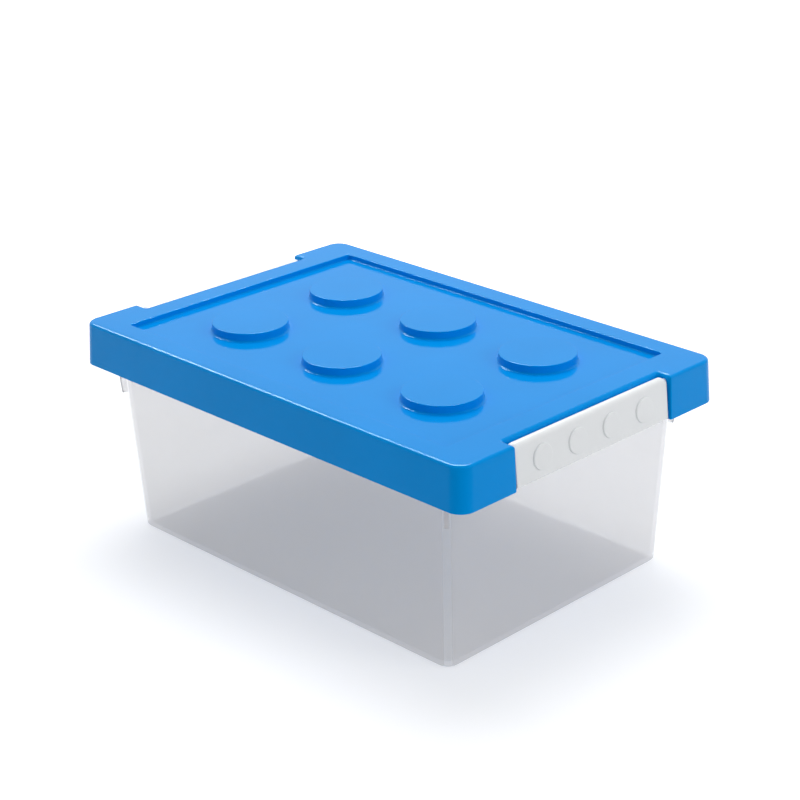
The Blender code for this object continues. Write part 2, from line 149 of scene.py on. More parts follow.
class LidSizes(bpy.types.PropertyGroup):
    """Sizes of the lid, its panel and its studs."""

    wall: FloatProperty(name="Wall", description="Thickness of the skirt",
                        default=0.0020, unit="LENGTH")
    plate: FloatProperty(name="Plate", description="Thickness of the top",
                         default=0.0022, unit="LENGTH")
    skirt: FloatProperty(name="Skirt height", description="From the top down to the foot",
                         default=0.0253, unit="LENGTH")
    flare: FloatProperty(name="Flare", description="How far the skirt's foot stands out",
                         default=0.0012, unit="LENGTH")
    corner: FloatProperty(name="Corner radius", description="Radius of the upright corners",
                          default=0.0090, unit="LENGTH")
    edge: FloatProperty(name="Top rounding", description="Rounding of the top's edge",
                        default=0.0018, unit="LENGTH")
    foot_edge: FloatProperty(name="Foot rounding", description="Rounding of the skirt's foot",
                             default=0.0004, unit="LENGTH")
    panel_half: FloatVectorProperty(name="Panel half size", description="Half the sunk panel",
                                    size=2, default=(0.12665, 0.08615), unit="LENGTH")
    panel_depth: FloatProperty(name="Panel depth", description="How deep the panel is sunk",
                               default=0.0031, unit="LENGTH")
    panel_corner: FloatProperty(name="Panel corner", description="Radius of its corners",
                                default=0.0016, unit="LENGTH")
    panel_edge: FloatProperty(name="Panel edge", description="Rounding of its upper edge",
                              default=0.0005, unit="LENGTH")
    panel_fold: FloatProperty(name="Panel fold", description="Rounding at its floor",
                              default=0.0008, unit="LENGTH")
    stud_centre: FloatVectorProperty(name="Stud place", description="Place of a corner stud",
                                     size=2, default=(0.07735, 0.03785), unit="LENGTH")
    stud_radius: FloatProperty(name="Stud radius", description="Radius at the stud's foot",
                               default=0.0223, unit="LENGTH")
    stud_top: FloatProperty(name="Stud top radius", description="Radius at the stud's top",
                            default=0.0220, unit="LENGTH")
    stud_edge: FloatProperty(name="Stud edge", description="Rounding of the stud's top edge",
                             default=0.0004, unit="LENGTH")
    stud_fold: FloatProperty(name="Stud fold", description="Rounding at the stud's foot",
                             default=0.0011, unit="LENGTH")
    notch_half: FloatProperty(name="Notch half width", description="Half the latch's notch",
                              default=0.0622, unit="LENGTH")
    notch_depth: FloatProperty(name="Notch depth", description="Depth of the latch's notch",
                               default=0.0092, unit="LENGTH")
    notch_inner: FloatProperty(name="Notch inner corner", description="Radius at its back",
                               default=0.0015, unit="LENGTH")
    notch_outer: FloatProperty(name="Notch outer corner", description="Radius at its mouth",
                               default=0.0006, unit="LENGTH")
    window_half: FloatProperty(name="Window half width", description="Half the hook's window",
                               default=0.0570, unit="LENGTH")
    window_top: FloatProperty(name="Window top", description="Height of the window's top",
                              default=0.1173, unit="LENGTH")


class LatchSizes(bpy.types.PropertyGroup):
    """Sizes of a latch, its barrel, discs, hook and pins."""

    half: FloatProperty(name="Half width", description="Half the latch's width",
                        default=0.0608, unit="LENGTH")
    thickness: FloatProperty(name="Thickness", description="Thickness of the plate",
                             default=0.0024, unit="LENGTH")
    lean: FloatProperty(name="Lean", description="How far the plate leans out",
                        default=math.radians(5.6), subtype="ANGLE")
    foot_gap: FloatProperty(name="Foot gap", description="From the plate's foot to the skirt's",
                            default=0.0008, unit="LENGTH")
    barrel: FloatProperty(name="Barrel radius", description="Radius of the rolled top edge",
                          default=0.0032, unit="LENGTH")
    shoulder: FloatProperty(name="Shoulder", description="Rounding of the upper corners",
                            default=0.0028, unit="LENGTH")
    edge: FloatProperty(name="Edge rounding", description="Rounding of the plate's edges",
                        default=0.0006, unit="LENGTH")
    side_edge: FloatProperty(name="Side edge", description="Rounding of the plate's sides",
                             default=0.00042, unit="LENGTH")
    disc_radius: FloatProperty(name="Disc radius", description="Radius of the raised discs",
                               default=0.0071, unit="LENGTH")
    disc_proud: FloatProperty(name="Disc height", description="How far the discs stand out",
                              default=0.0010, unit="LENGTH")
    disc_pitch: FloatProperty(name="Disc pitch", description="From disc to disc",
                              default=0.0272, unit="LENGTH")
    disc_drop: FloatProperty(name="Disc drop", description="From the barrel to the discs",
                             default=0.0093, unit="LENGTH")
    disc_count: IntProperty(name="Discs", description="Number of discs", default=4)
    disc_edge: FloatProperty(name="Disc edge", description="Rounding of the discs",
                             default=0.0006, unit="LENGTH")
    hook_tip: FloatProperty(name="Hook tip", description="Where the hook rib ends",
                            default=0.14045, unit="LENGTH")
    hook_top: FloatProperty(name="Hook top", description="Height of the hook rib's top",
                            default=0.1143, unit="LENGTH")
    hook_thickness: FloatProperty(name="Hook thickness", description="Height of the hook rib",
                                  default=0.0022, unit="LENGTH")
    hook_half: FloatProperty(name="Hook half width", description="Half the hook rib",
                             default=0.0550, unit="LENGTH")
    pin_radius: FloatProperty(name="Pin radius", description="Radius of the end pins",
                              default=0.0016, unit="LENGTH")
    pin_length: FloatProperty(name="Pin length", description="How far the pins stand out",
                              default=0.0032, unit="LENGTH")
    pin_edge: FloatProperty(name="Pin edge", description="Rounding of the pins' ends",
                            default=0.00032, unit="LENGTH")
    pin_gap: FloatProperty(name="Pin clearance", description="Room round the pins",
                           default=0.0003, unit="LENGTH")


class PlasticColours(bpy.types.PropertyGroup):
    """Colours of the three plastics."""

    blue: FloatVectorProperty(name="Lid", description="Blue of the lid", subtype="COLOR",
                              default=(0.0, 0.29, 0.80), min=0.0, max=1.0)
    white: FloatVectorProperty(name="Latches", description="White of the latches",
                               subtype="COLOR", default=(0.85, 0.872, 0.89), min=0.0, max=1.0)
    frost: FloatVectorProperty(name="Tub", description="Tint of the frosted tub",
                               subtype="COLOR", default=(0.69, 0.675, 0.70), min=0.0, max=1.0)
    outside: FloatProperty(name="Milk, outside", description="How milky the tub's outside is",
                           default=0.26, min=0.0, max=1.0)
    inside: FloatProperty(name="Milk, inside", description="How milky the tub's inside is",
                          default=0.05, min=0.0, max=1.0)
    rib_ends: FloatProperty(name="Milk, rib ends", description="How milky the ribs' ends are",
                            default=0.80, min=0.0, max=1.0)


class StudioSettings(bpy.types.PropertyGroup):
    """Light of the studio."""

    ambient: FloatProperty(name="Ambient", description="Even light from all round",
                           default=0.51, min=0.0)
    top_light: FloatProperty(name="Top light", description="Power of the lamp overhead",
                             default=13.5, min=0.0)
    edge_light: FloatProperty(name="Edge light", description="Lamp seen in glossy edges alone",
                              default=26.0, min=0.0)
    back_light: FloatProperty(name="Back light", description="Lamp behind, seen the same way",
                              default=28.0, min=0.0)
    side_light: FloatProperty(name="Side light", description="Power of the lamp on the right",
                              default=6.5, min=0.0)
    floor: FloatProperty(name="Floor", description="Paleness of the floor",
                         default=0.76, min=0.0, max=1.0)
    floor_glow: FloatProperty(name="Floor lift", description="What the eye sees added to it",
                              default=0.46, min=0.0)
    floor_near: FloatProperty(name="Shadow reach", description="Out to here it takes shadows",
                              default=0.30, unit="LENGTH")
    floor_far: FloatProperty(name="White beyond", description="From here on it is plain white",
                             default=0.80, unit="LENGTH")


def only(obj):
    """Select one object alone and make it the active one."""
    bpy.ops.object.select_all(action="DESELECT")
    obj.select_set(True)
    bpy.context.view_layer.objects.active = obj


def edit(obj):
    """Open one object's mesh for editing."""
    only(obj)
    bpy.ops.object.mode_set(mode="EDIT")


def close():
    """Leave edit mode."""
    bpy.ops.object.mode_set(mode="OBJECT")


def pick(kind, test):
    """Select just the vertices, edges or faces of the open mesh that pass a test."""
    bpy.ops.mesh.select_mode(type=kind)
    bpy.ops.mesh.select_all(action="DESELECT")
    mesh = bmesh.from_edit_mesh(bpy.context.object.data)
    items = {"VERT": mesh.verts, "EDGE": mesh.edges, "FACE": mesh.faces}[kind]
    for item in items:
        if test(item):
            item.select_set(True)
    bmesh.update_edit_mesh(bpy.context.object.data)


def both(length):
    """The same length along X and along Y."""
    return Vector((length, length))


def level(item, z):
    """Whether all of an edge or face lies at one height."""
    return all(abs(vert.co.z - z) < CLOSE for vert in item.verts)


def on_outline(item, z, half, corner):
    """Whether an edge or face lies at one height on a rounded rectangle's outline."""
    for vert in item.verts:
        x = max(abs(vert.co.x) - half[0] + corner, 0.0)
        y = max(abs(vert.co.y) - half[1] + corner, 0.0)
        if abs(math.hypot(x, y) - corner) > NEAR or abs(vert.co.z - z) > CLOSE:
            return False
    return True


def round_edges(test, radius, segments):
    """Bevel the open mesh's edges that pass a test."""
    pick("EDGE", test)
    bpy.ops.mesh.bevel(offset=radius, segments=segments, affect="EDGES")


def plate(name, half, z, corner=0.0):
    """A flat plate with round corners, open for editing with its face selected."""
    bpy.ops.object.select_all(action="DESELECT")
    bpy.ops.mesh.primitive_plane_add(size=2.0, location=(0.0, 0.0, z))
    obj = bpy.context.object
    obj.name = obj.data.name = name
    obj.scale = (half[0], half[1], 1.0)
    bpy.ops.object.transform_apply()
    edit(obj)
    bpy.ops.mesh.select_mode(type="VERT")
    bpy.ops.mesh.select_all(action="SELECT")
    if corner:
        bpy.ops.mesh.bevel(offset=corner, segments=CORNER_STEPS, affect="VERTICES")
    bpy.ops.mesh.select_mode(type="FACE")
    bpy.ops.mesh.select_all(action="SELECT")
    return obj


def box(name, low, high):
    """A sharp box between two corners, open for editing."""
    bpy.ops.object.select_all(action="DESELECT")
    middle = (Vector(low) + Vector(high)) / 2
    bpy.ops.mesh.primitive_cube_add(size=1.0, location=middle)
    obj = bpy.context.object
    obj.name = obj.data.name = name
    obj.scale = Vector(high) - Vector(low)
    bpy.ops.object.transform_apply()
    edit(obj)
    return obj


def rod(name, centre, radius, depth, segments, turn):
    """A round bar about a centre, turned from upright, open for editing."""
    bpy.ops.object.select_all(action="DESELECT")
    bpy.ops.mesh.primitive_cylinder_add(vertices=segments, radius=radius, depth=depth,
                                        location=centre, rotation=turn)
    obj = bpy.context.object
    obj.name = obj.data.name = name
    bpy.ops.object.transform_apply()
    edit(obj)
    return obj


def copy_of(obj, shift=(0.0, 0.0, 0.0)):
    """A copy with its own mesh, moved by a shift."""
    only(obj)
    bpy.ops.object.duplicate_move(OBJECT_OT_duplicate={"linked": False},
                                  TRANSFORM_OT_translate={"value": shift})
    bpy.ops.object.transform_apply()
    return bpy.context.object


def join(objs):
    """Join objects into the first one."""
    bpy.ops.object.select_all(action="DESELECT")
    for obj in objs:
        obj.select_set(True)
    bpy.context.view_layer.objects.active = objs[0]
    bpy.ops.object.join()
    return objs[0]


def combine(obj, tool, operation):
    """Cut a tool from an object or join it on, and remove the tool."""
    only(obj)
    bpy.ops.object.modifier_add(type="BOOLEAN")
    modifier = obj.modifiers[-1]
    modifier.operation = operation
    modifier.solver = "MANIFOLD"
    modifier.object = tool
    bpy.ops.object.modifier_apply(modifier=modifier.name)
    bpy.data.objects.remove(tool, do_unlink=True)


def point_outwards():
    """Turn the faces of the open, closed-up mesh outwards."""
    bpy.ops.mesh.select_all(action="SELECT")
    bpy.ops.mesh.normals_make_consistent(inside=False)
    if bmesh.from_edit_mesh(bpy.context.object.data).calc_volume(signed=True) < 0:
        bpy.ops.mesh.flip_normals()


def wear(obj, material, test):
    """Give a piece's faces that pass a test a material."""
    obj.data.materials.append(material)
    edit(obj)
    pick("FACE", test)
    obj.active_material_index = len(obj.data.materials) - 1
    bpy.ops.object.material_slot_assign()
    close()


def finish_piece(obj, body, node):
    """Shade a piece and set it on its body in its solid's place."""
    only(obj)
    bpy.ops.object.shade_smooth_by_angle(angle=SMOOTH_BELOW)
    bpy.ops.object.modifier_add(type="WEIGHTED_NORMAL")
    modifier = obj.modifiers[-1]
    modifier.keep_sharp = True
    bpy.ops.object.modifier_apply(modifier=modifier.name)
    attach(obj, body)
    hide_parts(node)


def outline_step(old, new, rise):
    """Extrude the selected outline to a new half size and height."""
    bpy.ops.mesh.extrude_edges_move(TRANSFORM_OT_translate={"value": (0.0, 0.0, rise)})
    bpy.ops.transform.resize(value=(new[0] / old[0], new[1] / old[1], 1.0),
                             center_override=MIDDLE)


def tub_shell(sizes):
    """The tub's one skin, drawn from its foot over the rim and down to its floor."""
    slope = math.tan(sizes.draft)
    high = TUB_HIGH.z
    rim = TUB_HIGH.xy
    top = rim - Vector((sizes.reach_ends, sizes.reach_sides))

    def wall(z, inset=0.0):
        """Half the tub's size at one height."""
        return top - both(slope * (high - z) + inset)

    hollow = rim - both(sizes.lip_wall)
    under = high - sizes.rim
    steps = (
        (under, wall(under), sizes.edge),
        (under, hollow, sizes.edge / 2),
        (high - sizes.lip, hollow, sizes.edge / 2),
        (high - sizes.lip, rim, sizes.edge),
        (high, rim, sizes.edge),
        (high, wall(high, sizes.wall), sizes.edge),
        (sizes.floor, wall(sizes.floor, sizes.wall), sizes.foot_inside),
    )
    tub = plate("tub_shell", wall(0.0), 0.0, sizes.corner)
    bpy.ops.mesh.select_mode(type="EDGE")
    bpy.ops.mesh.select_all(action="SELECT")
    old_z, old_half = 0.0, wall(0.0)
    for z, half, _ in steps:
        outline_step(old_half, half, z - old_z)
        old_z, old_half = z, half
    bpy.ops.mesh.edge_face_add()
    round_edges(lambda edge: level(edge, 0.0), sizes.foot, segments=6)
    for z, half, radius in steps:
        round_edges(lambda edge: on_outline(edge, z, half, sizes.corner), radius, segments=4)
    point_outwards()
    close()
    return tub


def in_tub(face, sizes):
    """Whether a face lines the tub's hollow."""
    centre = face.calc_center_median()
    inset = sizes.wall / 2 + math.tan(sizes.draft) * (TUB_HIGH.z - centre.z)
    return (sizes.floor / 2 < centre.z < TUB_HIGH.z - CLOSE
            and abs(centre.x) < TUB_HIGH.x - sizes.reach_ends - inset
            and abs(centre.y) < TUB_HIGH.y - sizes.reach_sides - inset)


def on_rib_end(face, sizes):
    """Whether a face is the outer end of a corner rib, where it shows its full depth."""
    centre = face.calc_center_median()
    lean = math.tan(sizes.draft) * (TUB_HIGH.z - centre.z)
    x = abs(centre.x) - (TUB_HIGH.x - sizes.reach_ends - lean - sizes.corner)
    y = abs(centre.y) - (TUB_HIGH.y - sizes.reach_sides - lean - sizes.corner)
    return (centre.z < TUB_HIGH.z - sizes.lip and x > 0 and y > 0
            and math.hypot(x, y) > sizes.corner + sizes.rib_foot / 2
            and abs(abs(face.normal.x) - abs(face.normal.y)) < DIAGONAL)


def across(edge):
    """Whether an edge's ends lie apart along Y."""
    return abs(edge.verts[0].co.y - edge.verts[1].co.y) > CLOSE


def tub_ribs(sizes):
    """A blade on the diagonal of each corner, under the rim."""
    slope = math.tan(sizes.draft)
    low_z = TUB_HIGH.z - sizes.rib_height
    high_z = TUB_HIGH.z - sizes.rim / 2
    corner = Vector((TUB_HIGH.x - sizes.reach_ends, TUB_HIGH.y - sizes.reach_sides, 0.0))
    lean = slope * (high_z - low_z)
    foot = corner - Vector((1.0, 1.0, 0.0)) * slope * sizes.rib_height
    outer = sizes.corner * (1 - math.sqrt(2)) + sizes.rib_foot
    inner = outer - sizes.rib_foot - sizes.rib_root
    rib = box("tub_rib", (inner, -sizes.rib_width / 2, low_z),
              (outer, sizes.rib_width / 2, high_z))
    pick("VERT", lambda vert: vert.co.z > low_z + CLOSE and vert.co.x > outer - CLOSE)
    bpy.ops.transform.translate(value=(sizes.rib_top - sizes.rib_foot, 0.0, 0.0))
    round_edges(lambda edge: all(vert.co.x > outer - CLOSE for vert in edge.verts)
                and not across(edge), sizes.rib_edge, segments=3)
    round_edges(lambda edge: level(edge, low_z) and across(edge), sizes.rib_end, segments=3)
    close()
    only(rib)
    rib.rotation_euler = (0.0, 0.0, math.pi / 4)
    rib.location = foot
    bpy.ops.object.transform_apply()
    edit(rib)
    pick("VERT", lambda vert: vert.co.z > high_z - CLOSE)
    bpy.ops.transform.translate(value=(lean, lean, 0.0))
    close()
    ribs = [rib]
    for flip in ((-1, 1, 1), (1, -1, 1), (-1, -1, 1)):
        twin = copy_of(rib)
        edit(twin)
        bpy.ops.mesh.select_all(action="SELECT")
        bpy.ops.transform.resize(value=flip, center_override=MIDDLE)
        point_outwards()
        close()
        ribs.append(twin)
    return join(ribs)


def notched_plate(name, half, back, z):
    """A flat plate with a notch in each end, open for editing."""
    notched = plate(name, half, z)
    for axis in (0, 1):
        for side in (-1, 1):
            place, normal = [0.0, 0.0, z], [0.0, 0.0, 0.0]
            place[axis], normal[axis] = side * back[axis], 1.0
            bpy.ops.mesh.select_all(action="SELECT")
            bpy.ops.mesh.bisect(plane_co=place, plane_no=normal)
    pick("FACE", lambda face: abs(face.calc_center_median().x) > back.x
         and abs(face.calc_center_median().y) < back.y)
    bpy.ops.mesh.delete(type="FACE")
    bpy.ops.mesh.select_all(action="SELECT")
    bpy.ops.mesh.dissolve_faces()
    pick("VERT", lambda vert: abs(vert.co.y) > half.y - CLOSE and abs(vert.co.x) < half.x - CLOSE)
    bpy.ops.mesh.dissolve_verts()
    return notched


def lid_cap(name, sizes, inset, drop):
    """The lid's flared cap with a notch in each end, open underneath and in its top."""
    top_z = LID_LOW.z + sizes.skirt - drop
    half = LID_HIGH.xy - both(sizes.flare + inset)
    back = Vector((LID_HIGH.x - sizes.flare - sizes.notch_depth - inset,
                   sizes.notch_half + inset))
    cap = notched_plate(name, half, back, top_z)
    bpy.ops.mesh.select_mode(type="EDGE")
    bpy.ops.mesh.select_all(action="SELECT")
    bpy.ops.mesh.extrude_edges_move(
        TRANSFORM_OT_translate={"value": (0.0, 0.0, LID_LOW.z + sizes.foot_edge - top_z)})
    for axis in (0, 1):
        for side in (-1, 1):
            move = [0.0, 0.0, 0.0]
            move[axis] = side * sizes.flare
            pick("VERT", lambda vert: vert.co.z < top_z - CLOSE
                 and side * vert.co[axis] > back[axis] + CLOSE)
            bpy.ops.transform.translate(value=move)
    least = sizes.edge / 4  # the radius that an inside corner keeps at least
    for x, y, radius in ((half.x, half.y, max(sizes.corner - inset, least)),
                         (back.x, back.y, sizes.notch_inner + inset)):
        def upright_here(edge):
            """Whether an edge climbs the skirt at this corner, give or take the flare."""
            one, two = edge.verts
            middle = (one.co + two.co) / 2
            return (abs(one.co.z - two.co.z) > CLOSE
                    and abs(abs(middle.x) - x) < sizes.flare + CLOSE
                    and abs(abs(middle.y) - y) < sizes.flare + CLOSE)

        round_edges(upright_here, radius, segments=10)
    rounding = least if inset else sizes.edge
    round_edges(lambda edge: level(edge, top_z), rounding, segments=6)

    def at_mouth(edge):
        """Whether an edge climbs the notch's outer corner, up to the flat top."""
        one, two = edge.verts
        return abs(one.co.z - two.co.z) > CLOSE and all(
            abs(vert.co.x) > half.x - rounding - CLOSE
            and -CLOSE < abs(vert.co.y) - back.y < rounding + CLOSE for vert in edge.verts)

    round_edges(at_mouth, max(sizes.notch_outer - inset, least), segments=5)
    pick("FACE", lambda face: level(face, top_z))
    bpy.ops.mesh.delete(type="ONLY_FACE")
    close()
    return cap


def lid_panel(name, sizes, inset, drop):
    """The step down from the lid's top to the panel's floor, open in the middle."""
    top_z = LID_LOW.z + sizes.skirt - drop
    half = Vector(sizes.panel_half) + both(inset)
    corner = sizes.panel_corner + inset
    margin = 2 * sizes.panel_edge
    panel = plate(name, half + both(margin), top_z, corner + margin)
    bpy.ops.mesh.inset(thickness=margin)
    bpy.ops.mesh.extrude_region_move(
        TRANSFORM_OT_translate={"value": (0.0, 0.0, -sizes.panel_depth)})
    low_z = top_z - sizes.panel_depth
    round_edges(lambda edge: level(edge, low_z), sizes.panel_fold, segments=5)
    round_edges(lambda edge: on_outline(edge, top_z, half, corner), sizes.panel_edge, segments=5)
    pick("FACE", lambda face: level(face, low_z))
    bpy.ops.mesh.delete(type="ONLY_FACE")
    close()
    return panel


def lid_studs(name, sizes, inset, drop):
    """Six studs with a flat ring round each, the first one modelled and the rest copied."""
    low_z = LID_LOW.z + sizes.skirt - drop - sizes.panel_depth
    high_z = LID_HIGH.z - drop
    x, y = sizes.stud_centre
    base = sizes.stud_radius - inset
    tip = sizes.stud_top - inset
    margin = 2 * sizes.stud_fold
    bpy.ops.object.select_all(action="DESELECT")
    bpy.ops.mesh.primitive_circle_add(vertices=96, radius=base + margin, fill_type="NGON",
                                      location=(-x, -y, low_z))
    stud = bpy.context.object
    stud.name = stud.data.name = name
    bpy.ops.object.transform_apply()
    edit(stud)
    bpy.ops.mesh.select_mode(type="FACE")
    bpy.ops.mesh.select_all(action="SELECT")
    bpy.ops.mesh.inset(thickness=margin)
    bpy.ops.mesh.extrude_region_move(
        TRANSFORM_OT_translate={"value": (0.0, 0.0, high_z - low_z)})
    bpy.ops.transform.resize(value=(tip / base, tip / base, 1.0),
                             center_override=(-x, -y, high_z))
    round_edges(lambda edge: level(edge, high_z), sizes.stud_edge, segments=5)
    round_edges(lambda edge: level(edge, low_z) and not edge.is_boundary
                and len([face for face in edge.link_faces if level(face, low_z)]) == 1,
                sizes.stud_fold, segments=4)
    close()
    studs = [stud]
    for column in range(3):
        for row in range(2):
            if column or row:
                studs.append(copy_of(stud, (column * x, row * 2 * y, 0.0)))
    return join(studs)


def lid_skin(name, sizes, inset, drop):
    """One side of the lid's shell: its outside, or its inside set in and lowered."""
    top_z = LID_LOW.z + sizes.skirt - drop
    skin = join([lid_cap(name, sizes, inset, drop),
                 lid_panel(name + "_panel", sizes, inset, drop),
                 lid_studs(name + "_studs", sizes, inset, drop)])
    edit(skin)
    for z in (top_z, top_z - sizes.panel_depth):
        pick("EDGE", lambda edge: edge.is_boundary and level(edge, z))
        bpy.ops.mesh.fill()
    close()
    return skin


def lid_shell(sizes, latch):
    """The lid: two skins bridged at the skirt's foot, with its pin holes and windows."""
    lid = join([lid_skin("lid_shell", sizes, 0.0, 0.0),
                lid_skin("lid_inside", sizes, sizes.wall, sizes.plate)])
    edit(lid)
    pick("EDGE", lambda edge: edge.is_boundary)
    bpy.ops.mesh.fill()
    point_outwards()
    pick("FACE", lambda face: level(face, LID_LOW.z + sizes.foot_edge))
    # The foot is rounded in two steps, a steep one and a shallow one
    short, long = sizes.foot_edge * 0.3, sizes.foot_edge * 0.7
    bpy.ops.mesh.inset(thickness=short, depth=long)
    bpy.ops.mesh.inset(thickness=long, depth=short)
    close()
    low_y = latch.half
    high_y = sizes.notch_half + sizes.wall + latch.pin_length
    for side_x in (-1, 1):
        for side_y in (-1, 1):
            centre = (side_x * PIVOT.x, side_y * (low_y + high_y) / 2, PIVOT.z)
            hole = rod("pin_hole", centre, latch.pin_radius + latch.pin_gap, high_y - low_y,
                       segments=32, turn=(math.pi / 2, 0.0, 0.0))
            close()
            combine(lid, hole, "DIFFERENCE")
        back_x = LID_HIGH.x - sizes.flare - sizes.notch_depth
        ends = sorted((side_x * (back_x - 3 * sizes.wall), side_x * (back_x + sizes.wall)))
        window = box("hook_window", (ends[0], -sizes.window_half, LID_LOW.z - sizes.wall),
                     (ends[1], sizes.window_half, sizes.window_top))
        close()
        combine(lid, window, "DIFFERENCE")
    return lid


def latch_section(sizes):
    """The section of the latch's rolled top and plate, drawn in XZ and open for editing."""
    length = (PIVOT.z - LID_LOW.z - sizes.foot_gap) / math.cos(sizes.lean)
    start = Vector((PIVOT.x, -sizes.half, PIVOT.z))
    back_x = PIVOT.x + sizes.barrel - sizes.thickness
    bpy.ops.object.select_all(action="DESELECT")
    bpy.ops.mesh.primitive_circle_add(vertices=64, radius=sizes.barrel, fill_type="NOTHING",
                                      location=start, rotation=(math.pi / 2, 0.0, 0.0))
    latch = bpy.context.object
    latch.name = latch.data.name = "latch_right_shell"
    bpy.ops.object.transform_apply()
    edit(latch)
    pick("VERT", lambda vert: vert.co.x > back_x and vert.co.z < PIVOT.z - CLOSE)
    bpy.ops.mesh.delete(type="VERT")
    mesh = bmesh.from_edit_mesh(latch.data)
    ends = [vert.co.copy() for vert in mesh.verts if len(vert.link_edges) == 1]
    for end in ends:
        foot_x = end.x if end.x > back_x + sizes.thickness / 2 else back_x
        pick("VERT", lambda vert: (vert.co - end).length < CLOSE)
        for target in (Vector((foot_x, end.y, end.z - sizes.edge)),
                       Vector((foot_x, end.y, PIVOT.z - length))):
            move = target - end
            bpy.ops.mesh.extrude_vertices_move(TRANSFORM_OT_translate={"value": move})
            end = target
    bpy.ops.mesh.select_all(action="SELECT")
    bpy.ops.mesh.edge_face_add()
    pick("VERT", lambda vert: vert.co.z < PIVOT.z - length + CLOSE)
    bpy.ops.mesh.bevel(offset=sizes.edge, segments=4, affect="VERTICES")
    return latch


def latch_plate(sizes):
    """The latch's section run along Y, lowered towards its round shoulders."""
    latch = latch_section(sizes)
    bpy.ops.mesh.select_mode(type="FACE")
    bpy.ops.mesh.select_all(action="SELECT")
    angles = [math.radians(90.0 * index / SHOULDER_STEPS) for index in range(SHOULDER_STEPS + 1)]
    shoulders = [(sizes.half - sizes.shoulder + sizes.shoulder * math.sin(angle),
                  1 - sizes.shoulder * (1 - math.cos(angle)) / sizes.barrel)
                 for angle in angles]
    places = [(-y, share) for y, share in reversed(shoulders)] + shoulders
    old_y = places[0][0]
    for y, _ in places[1:]:
        bpy.ops.mesh.extrude_region_move(TRANSFORM_OT_translate={"value": (0.0, y - old_y, 0.0)})
        old_y = y
    for y, share in places:
        pick("VERT", lambda vert: abs(vert.co.y - y) < CLOSE and vert.co.z > PIVOT.z + CLOSE)
        bpy.ops.transform.resize(value=(1.0, 1.0, share), center_override=(PIVOT.x, y, PIVOT.z))
    round_edges(lambda edge: all(abs(abs(vert.co.y) - sizes.half) < CLOSE
                                 for vert in edge.verts), sizes.side_edge, segments=3)
    point_outwards()
    close()
    return latch


def latch_discs(sizes):
    """The row of raised discs on the plate's face, one modelled and the rest copied."""
    face_x = PIVOT.x + sizes.barrel
    low_x = face_x - sizes.thickness / 2
    high_x = face_x + sizes.disc_proud
    first = -sizes.disc_pitch * (sizes.disc_count - 1) / 2
    centre = ((low_x + high_x) / 2, first, PIVOT.z - sizes.disc_drop)
    disc = rod("latch_disc", centre, sizes.disc_radius, high_x - low_x,
               segments=96, turn=(0.0, math.pi / 2, 0.0))
    round_edges(lambda edge: all(vert.co.x > high_x - CLOSE for vert in edge.verts),
                sizes.disc_edge, segments=4)
    close()
    discs = [disc]
    for index in range(1, sizes.disc_count):
        discs.append(copy_of(disc, (0.0, index * sizes.disc_pitch, 0.0)))
    return join(discs)


def latch_hook(sizes):
    """The rib behind the plate that grips under the tub's lip."""
    hook = box("latch_hook", (sizes.hook_tip, -sizes.hook_half,
                              sizes.hook_top - sizes.hook_thickness),
               (PIVOT.x + sizes.barrel - sizes.thickness / 2, sizes.hook_half,
                sizes.hook_top))
    round_edges(lambda edge: all(abs(vert.co.x - sizes.hook_tip) < CLOSE
                                 for vert in edge.verts), sizes.edge, segments=3)
    close()
    return hook


def latch_pins(sizes):
    """The pins at both ends of the barrel, on the hinge's axis."""
    low_y = sizes.half - 2 * sizes.edge
    high_y = sizes.half + sizes.pin_length
    pin = rod("latch_pin", (PIVOT.x, (low_y + high_y) / 2, PIVOT.z), sizes.pin_radius,
              high_y - low_y, segments=32, turn=(math.pi / 2, 0.0, 0.0))
    round_edges(lambda edge: all(vert.co.y > high_y - CLOSE for vert in edge.verts),
                sizes.pin_edge, segments=2)
    close()
    twin = copy_of(pin)
    edit(twin)
    bpy.ops.mesh.select_all(action="SELECT")
    bpy.ops.transform.rotate(value=math.pi, orient_axis="Z",
                             center_override=(PIVOT.x, 0.0, PIVOT.z))
    close()
    return join([pin, twin])


def latch_shell(sizes):
    """The right latch, whole."""
    latch = latch_plate(sizes)
    combine(latch, latch_discs(sizes), "UNION")
    edit(latch)
    bpy.ops.mesh.select_all(action="SELECT")
    bpy.ops.transform.rotate(value=sizes.lean, orient_axis="Y",
                             center_override=(PIVOT.x, 0.0, PIVOT.z))
    close()
    combine(latch, latch_hook(sizes), "UNION")
    combine(latch, latch_pins(sizes), "UNION")
    return latch


